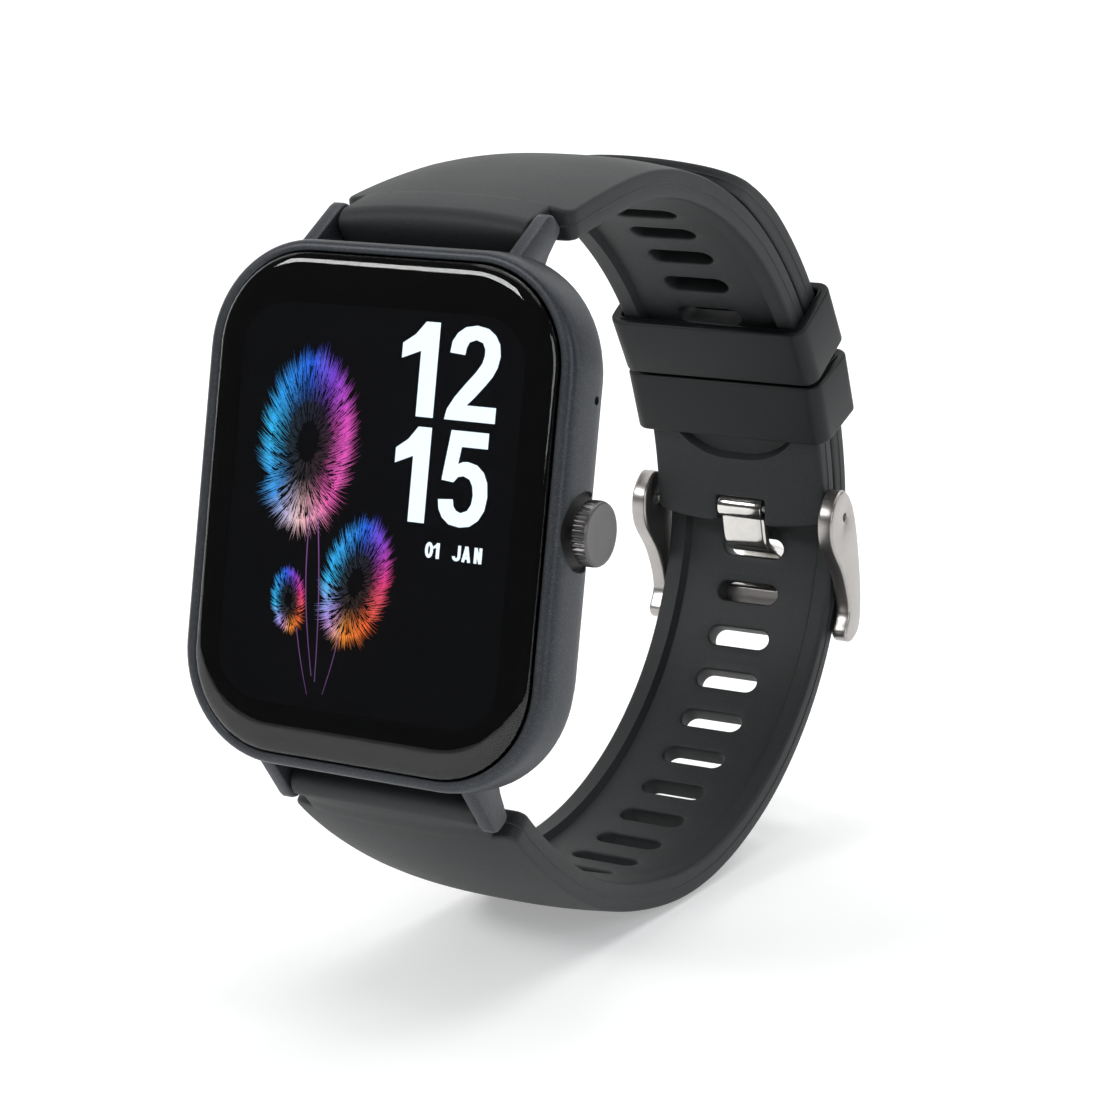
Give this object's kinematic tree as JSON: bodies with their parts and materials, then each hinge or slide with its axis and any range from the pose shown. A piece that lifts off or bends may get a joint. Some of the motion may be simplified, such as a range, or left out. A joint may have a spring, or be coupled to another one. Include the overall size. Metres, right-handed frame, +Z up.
{
  "type": "smartwatch",
  "caption": "Rectangular smartwatch with a curved-edge glass, a side crown and a buckled silicone strap closed into a loop, standing on its strap.",
  "frame": {"origin": "middle of the bounding box on the surface the strap stands on", "axes": "+Z up, +X out of the crown side, -Y the side the glass faces, leaning back 10.3 degrees"},
  "size_m": [0.04, 0.0838, 0.0744],
  "materials": {
    "case_metal": "fine metallic lacquer, satin",
    "cover_glass": "polished, black printed border",
    "tape": "black tape",
    "display": "black panel",
    "light_guide": "clear sheet",
    "flex": "amber film",
    "board": "solder mask",
    "chips": "moulded packages",
    "inner_plastic": "moulded",
    "battery_foil": "foil pouch",
    "crown_metal": "satin anodised",
    "steel": "turned",
    "seal": "soft",
    "back_plastic": "fine grained",
    "sensor_window": "polished dark window",
    "led": "moulded",
    "contacts": "gold plated",
    "silicone": "matte silicone",
    "keeper_silicone": "satin silicone",
    "buckle_steel": "satin",
    "tang_steel": "polished"
  },
  "bodies": {
    "case": {"mid_case": "case_metal", "cover_glass": "cover_glass", "glass_adhesive": "tape", "display_panel": "display", "display_light_guide": "light_guide", "display_cable": "flex", "main_board": "board", "board_chips": "chips", "inner_frame": "inner_plastic", "battery": "battery_foil", "vibration_motor": "chips", "speaker": "inner_plastic", "microphone": "chips", "crown_bush": "inner_plastic", "crown_switch": "chips", "back_cover": "back_plastic", "back_seal": "seal", "back_screws": "steel", "sensor_window": "sensor_window", "sensor_board": "board", "sensor_leds": "led", "charge_contacts": "contacts", "charge_magnets": "steel", "strap_short": "silicone", "strap_long": "silicone", "buckle_bar": "steel", "top_bar_tube": "steel", "top_bar_fixed_tip": "steel", "top_bar_spring": "steel", "bottom_bar_tube": "steel", "bottom_bar_fixed_tip": "steel", "bottom_bar_spring": "steel"},
    "crown_plunger": {"crown_plunger": "steel"},
    "crown": {"crown_cap": "crown_metal", "crown_stem": "steel", "crown_seal": "seal"},
    "keeper_upper": {"keeper_upper": "keeper_silicone"},
    "keeper_lower": {"keeper_lower": "keeper_silicone"},
    "buckle": {"buckle_frame": "buckle_steel"},
    "tang": {"buckle_tang": "tang_steel"},
    "top_release_tip": {"top_bar_sliding_tip": "steel"},
    "bottom_release_tip": {"bottom_bar_sliding_tip": "steel"}
  },
  "joints": [
    {"name": "crown_press", "type": "slide", "parent": "case", "child": "crown_plunger", "axis": [-1, 0, 0], "range_m": [0, 0.0005], "stiffness_N_per_m": 400},
    {"name": "crown_turn", "type": "hinge", "parent": "crown_plunger", "child": "crown", "pos_m": [0.02, -0.03342, 0.04552], "axis": [1, 0, 0], "continuous": true},
    {"name": "keeper_upper_slide", "type": "hinge", "parent": "case", "child": "keeper_upper", "pos_m": [-0.0009, -0.00588, 0.03036], "axis": [1, 0, 0], "range_deg": [0, 24]},
    {"name": "keeper_lower_slide", "type": "hinge", "parent": "case", "child": "keeper_lower", "pos_m": [-0.0009, -0.00588, 0.03036], "axis": [1, 0, 0], "range_deg": [-2, 0]},
    {"name": "buckle_swing", "type": "hinge", "parent": "case", "child": "buckle", "pos_m": [-0.0009, 0.03561, 0.03385], "axis": [1, 0, 0], "range_deg": [0, 5]},
    {"name": "tang_swing", "type": "hinge", "parent": "buckle", "child": "tang", "pos_m": [-0.0009, 0.03561, 0.03385], "axis": [1, 0, 0], "range_deg": [0, 3]},
    {"name": "top_release", "type": "slide", "parent": "case", "child": "top_release_tip", "axis": [-1, 0, 0], "range_m": [0, 0.0012], "stiffness_N_per_m": 300, "deforming": ["top_bar_spring"]},
    {"name": "bottom_release", "type": "slide", "parent": "case", "child": "bottom_release_tip", "axis": [-1, 0, 0], "range_m": [0, 0.0012], "stiffness_N_per_m": 300, "deforming": ["bottom_bar_spring"]}
  ]
}
